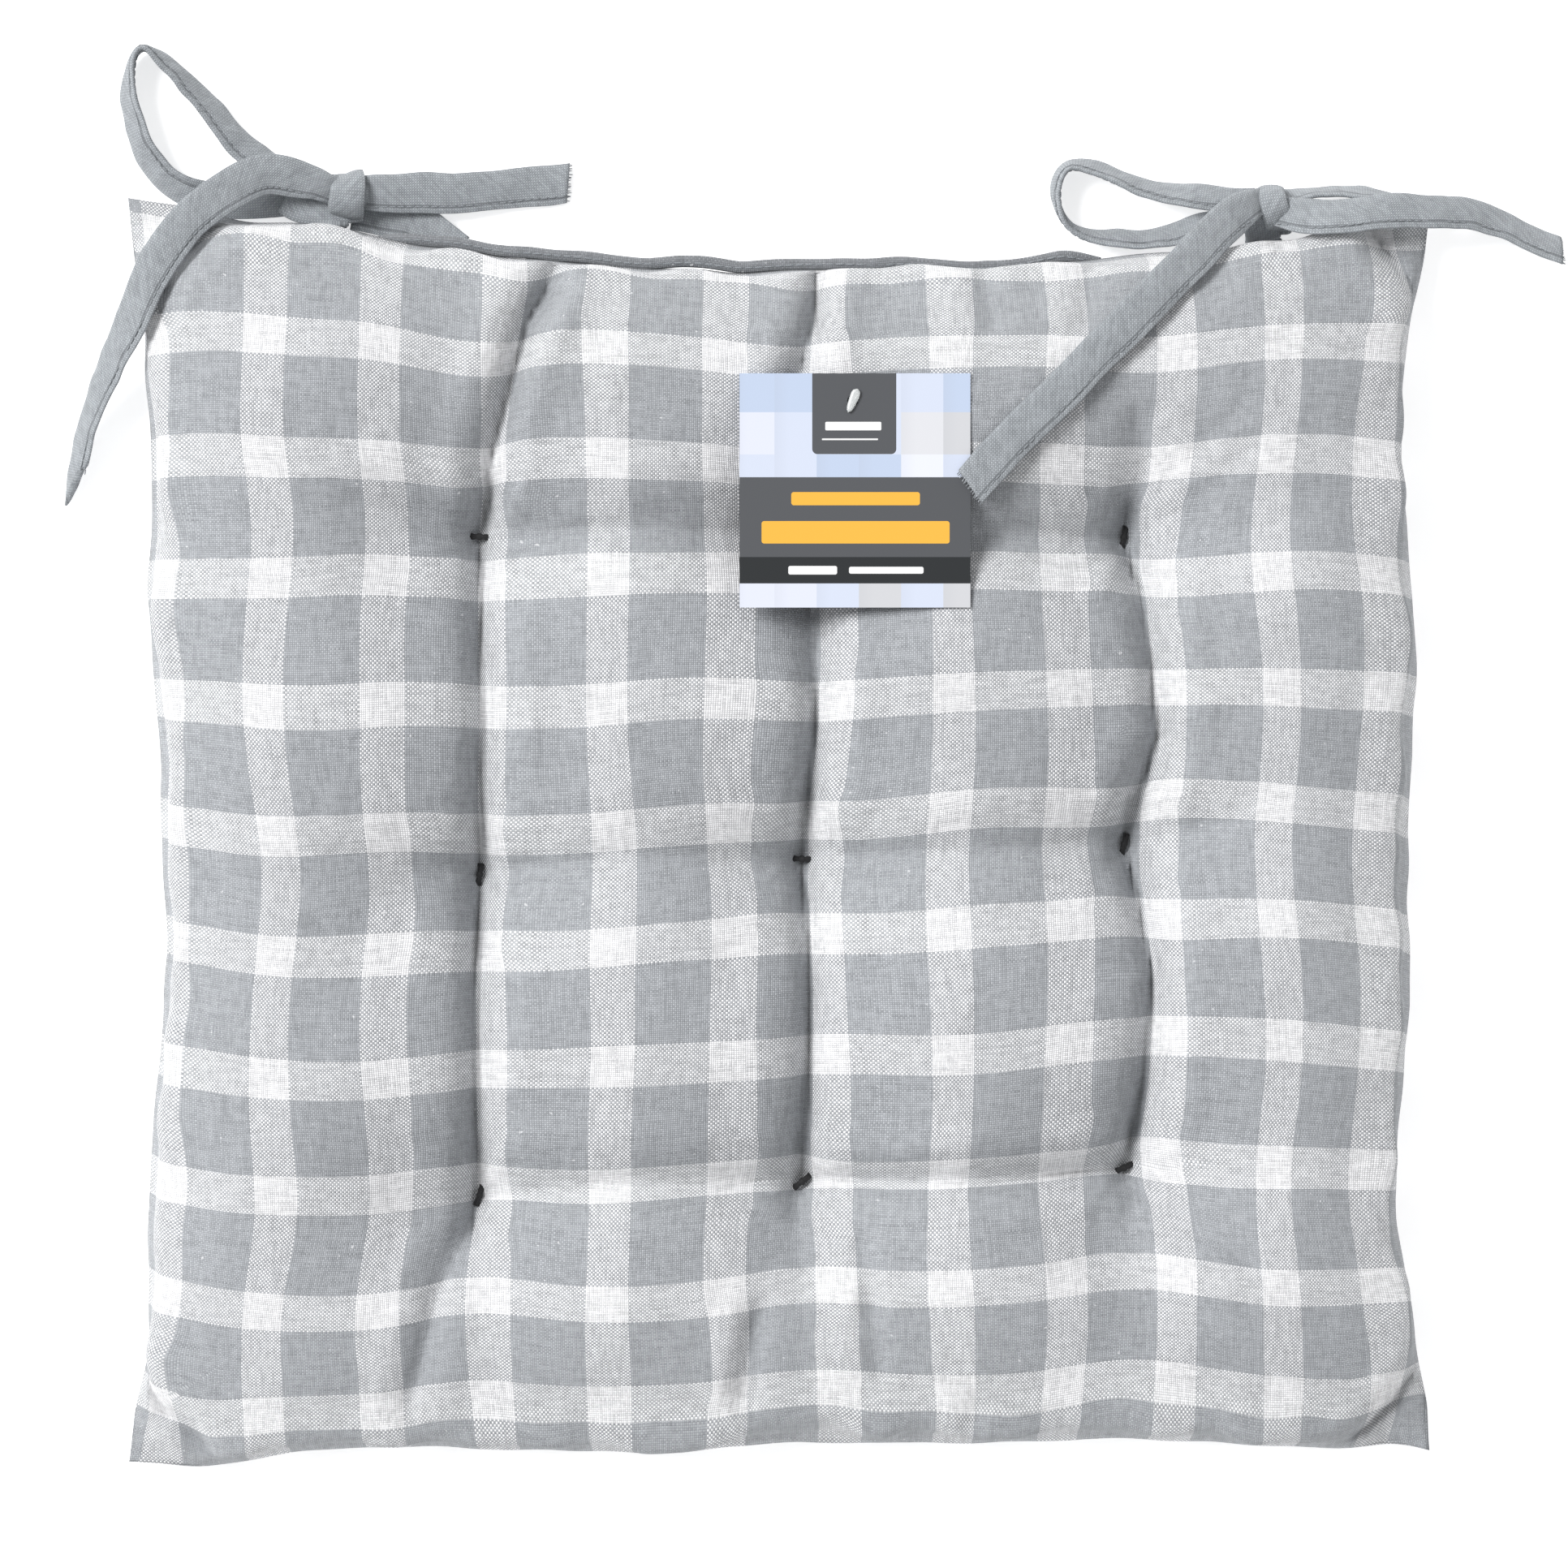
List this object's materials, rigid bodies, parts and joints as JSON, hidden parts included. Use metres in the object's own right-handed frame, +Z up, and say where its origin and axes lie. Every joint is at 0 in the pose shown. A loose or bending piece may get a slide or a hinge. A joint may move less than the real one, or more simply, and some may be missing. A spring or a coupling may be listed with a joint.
{
  "type": "chair seat pad",
  "caption": "Square tufted chair pad in checked cotton, with tape ties in half bows at its rear corners and a paper swing tag.",
  "frame": {"origin": "centre of the pad on the surface that it lies on", "axes": "+Z up out of the tufted top face, +Y towards the rear edge with the ties, +X to the right seen from above with the ties away from the viewer"},
  "size_m": [0.4596, 0.4355, 0.0474],
  "materials": {
    "check_cotton": "plain weave, grey ground with a white check",
    "tie_tape": "folded cotton tape",
    "polyester_fibre": "loose fibre block",
    "grey_thread": "sewing thread",
    "black_thread": "thick twisted thread",
    "tag_paper": "coated paper",
    "clear_plastic": "clear"
  },
  "bodies": {
    "pad": {"top_cover": "check_cotton", "bottom_cover": "check_cotton", "filling": "polyester_fibre", "edge_seam_thread": "grey_thread", "closing_lip": "check_cotton", "closing_lip_thread": "grey_thread", "tuft_stitch_1": "black_thread", "tuft_stitch_2": "black_thread", "tuft_stitch_3": "black_thread", "tuft_stitch_4": "black_thread", "tuft_stitch_5": "black_thread", "tuft_stitch_6": "black_thread", "tuft_stitch_7": "black_thread", "tuft_stitch_8": "black_thread", "tuft_stitch_9": "black_thread", "left_tie_knot": "tie_tape", "left_tie_inner_root": "tie_tape", "left_tie_outer_root": "tie_tape", "right_tie_knot": "tie_tape", "right_tie_inner_root": "tie_tape", "right_tie_outer_root": "tie_tape", "tag_fastener": "clear_plastic"},
    "tag": {"tag_card": "tag_paper"},
    "left_front_tail": {"left_tie_front_tail": "tie_tape"},
    "left_side_tail": {"left_tie_side_tail": "tie_tape"},
    "left_loop": {"left_tie_loop": "tie_tape"},
    "right_front_tail": {"right_tie_front_tail": "tie_tape"},
    "right_side_tail": {"right_tie_side_tail": "tie_tape"},
    "right_loop": {"right_tie_loop": "tie_tape"}
  },
  "joints": [
    {"name": "tag_swivel", "type": "hinge", "parent": "pad", "child": "tag", "pos_m": [0.0224, 0.1302, 0.0448], "axis": [0, 0, 1], "range_deg": [-80, 0]},
    {"name": "left_front_tail_lift", "type": "hinge", "parent": "pad", "child": "left_front_tail", "pos_m": [-0.144, 0.199, 0.0152], "axis": [0, 1, 0], "range_deg": [0, 75]},
    {"name": "left_side_tail_lift", "type": "hinge", "parent": "pad", "child": "left_side_tail", "pos_m": [-0.1235, 0.1956, 0.0102], "axis": [0, -1, 0], "range_deg": [0, 75]},
    {"name": "left_loop_lift", "type": "hinge", "parent": "pad", "child": "left_loop", "pos_m": [-0.17575, 0.2044, 0.011], "axis": [0.8768, 0.4809, 0], "range_deg": [0, 75]},
    {"name": "right_front_tail_lift", "type": "hinge", "parent": "pad", "child": "right_front_tail", "pos_m": [0.137, 0.186, 0.0282], "axis": [-0.7302, 0.6832, 0], "range_deg": [0, 75]},
    {"name": "right_side_tail_lift", "type": "hinge", "parent": "pad", "child": "right_side_tail", "pos_m": [0.161, 0.1878, 0.0245], "axis": [0, -1, 0], "range_deg": [0, 75]},
    {"name": "right_loop_lift", "type": "hinge", "parent": "pad", "child": "right_loop", "pos_m": [0.109, 0.19, 0.0145], "axis": [0, 1, 0], "range_deg": [0, 75]}
  ]
}
